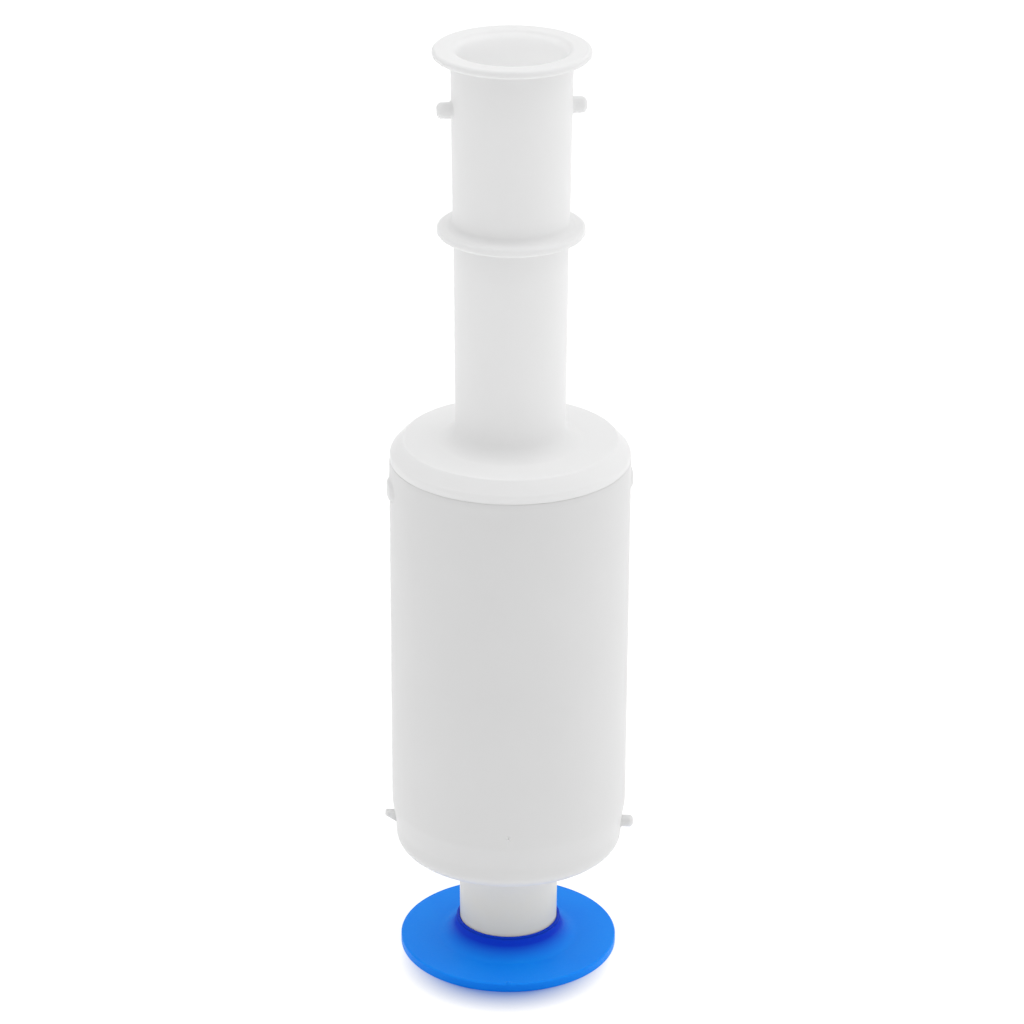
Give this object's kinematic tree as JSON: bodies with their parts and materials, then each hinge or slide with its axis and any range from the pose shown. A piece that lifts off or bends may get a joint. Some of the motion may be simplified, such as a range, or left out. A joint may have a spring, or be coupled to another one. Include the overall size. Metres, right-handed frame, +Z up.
{
  "type": "flush valve float tube",
  "caption": "Lift-out unit of a cistern flush valve: open overflow tube with lifting pegs and stop ring, closed float chamber and flat base seal.",
  "frame": {"origin": "centre of the base seal's underside, on the tube's axis", "axes": "+Z up along the tube to the open mouth; the two lifting pegs point along +X and -X"},
  "size_m": [0.0713, 0.068, 0.2736],
  "materials": {
    "natural_plastic": "satin moulded, unpigmented milky white",
    "natural_plastic_cup": "satin moulded, unpigmented milky white",
    "black_rubber": "smooth, lightly greased",
    "blue_seal": "smooth satin, bright blue",
    "retainer_plastic": "satin moulded"
  },
  "bodies": {
    "retainer": {"seal_retainer": "retainer_plastic"},
    "seal": {"base_seal": "blue_seal"},
    "tube": {"overflow_tube": "natural_plastic", "cap_o_ring": "black_rubber"},
    "cup": {"float_cup": "natural_plastic_cup", "neck_o_ring": "black_rubber"}
  },
  "joints": [
    {"name": "seal_pull", "type": "slide", "parent": "retainer", "child": "seal", "axis": [0, 0, 1], "range_m": [0, 0.015]},
    {"name": "tube_pull", "type": "slide", "parent": "seal", "child": "tube", "axis": [0, 0, 1], "range_m": [0, 0.025]},
    {"name": "cup_swivel", "type": "hinge", "parent": "tube", "child": "cup", "pos_m": [0, 0, 0.1], "axis": [0, 0, 1], "continuous": true}
  ]
}
